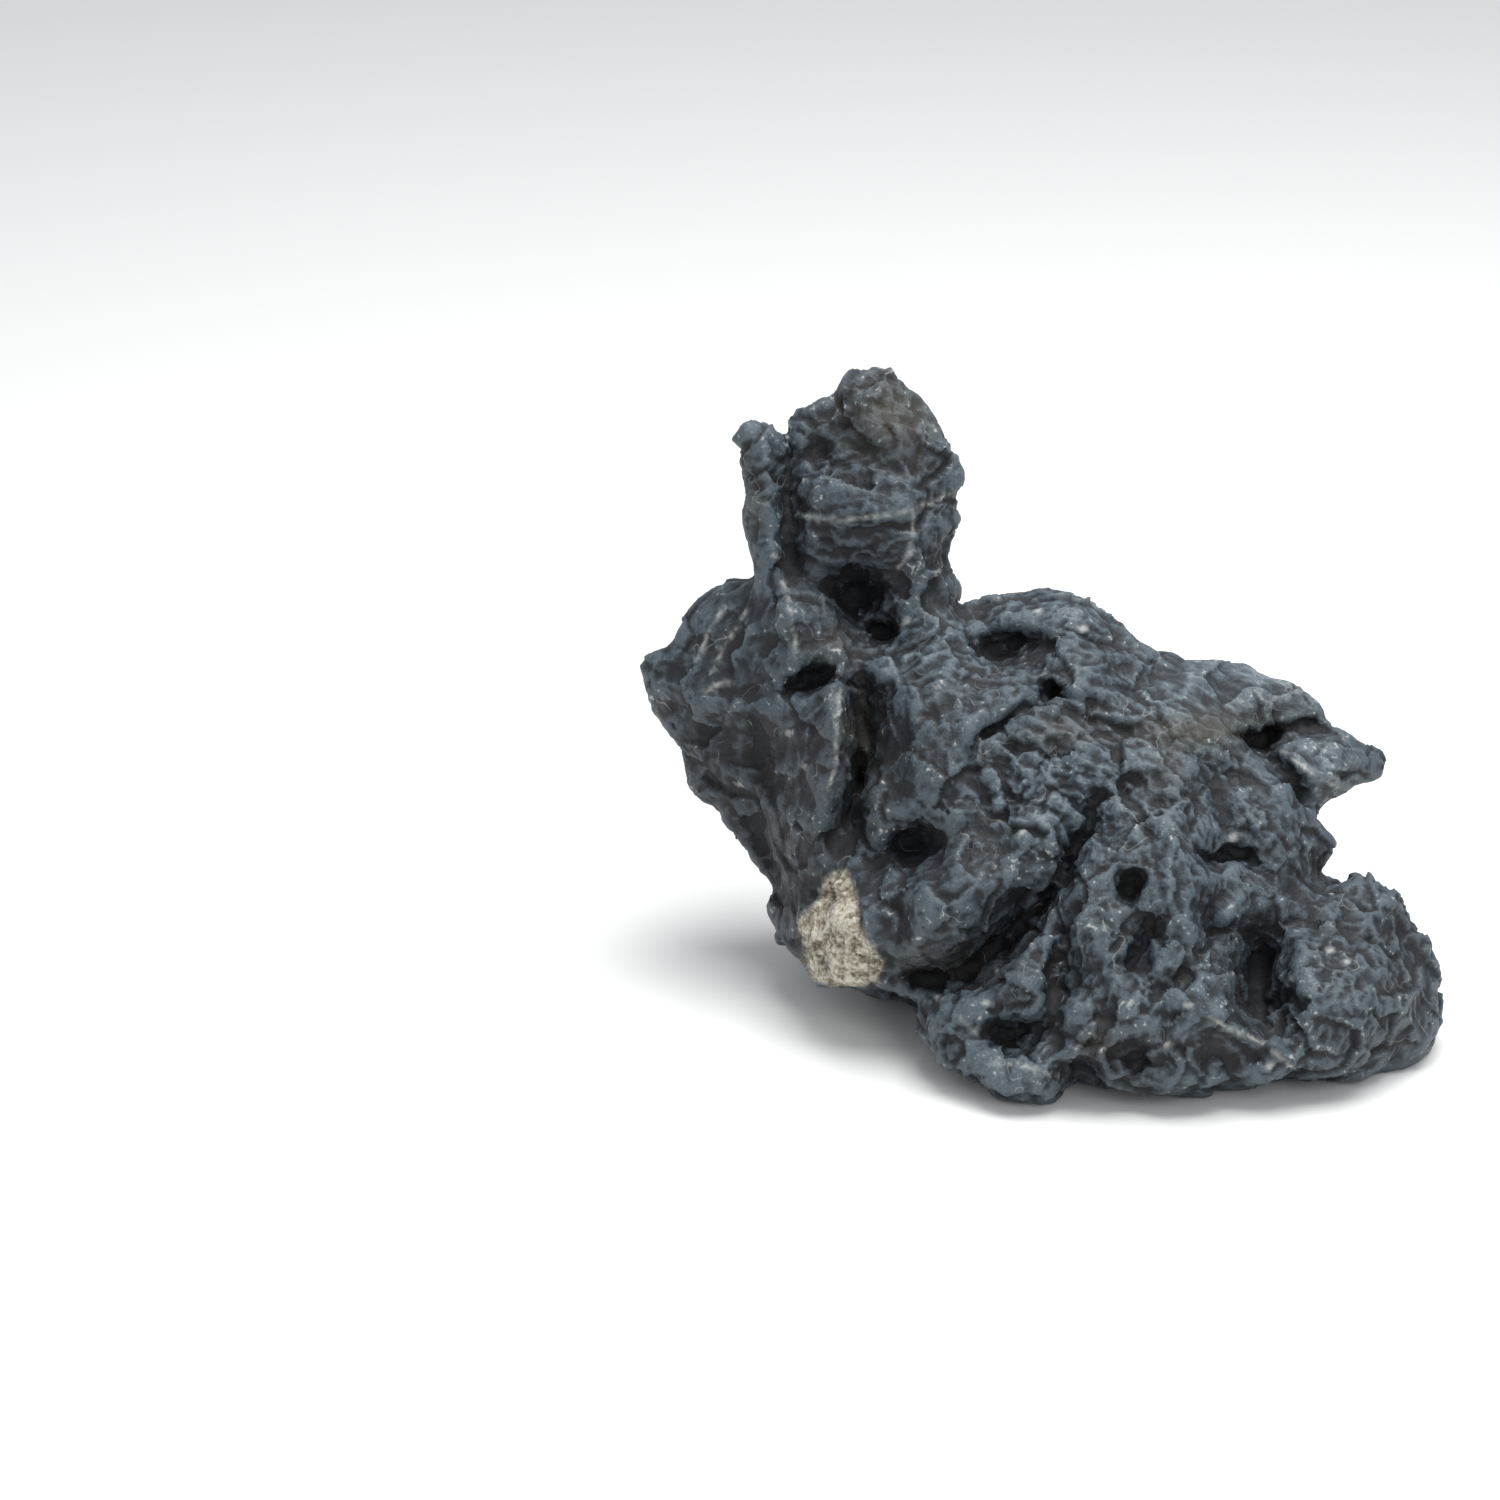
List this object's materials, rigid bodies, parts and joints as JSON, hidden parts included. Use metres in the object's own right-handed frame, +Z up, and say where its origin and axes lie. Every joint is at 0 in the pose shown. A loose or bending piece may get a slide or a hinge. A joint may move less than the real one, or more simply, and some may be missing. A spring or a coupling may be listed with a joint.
{
  "type": "aquascaping rock",
  "caption": "Craggy dark limestone for planted aquariums, with an upright head, a sloping back, deep crevices and a flat resting face.",
  "frame": {"origin": "on the resting face, under the middle of the stone's bounding box", "axes": "+Z up as the stone stands, +X along its length from the upright head to the low end, -Y towards the face seen in the picture"},
  "size_m": [0.2834, 0.1884, 0.2227],
  "materials": {
    "stone": "rough"
  },
  "bodies": {
    "root": {"rock": "stone"}
  },
  "joints": []
}
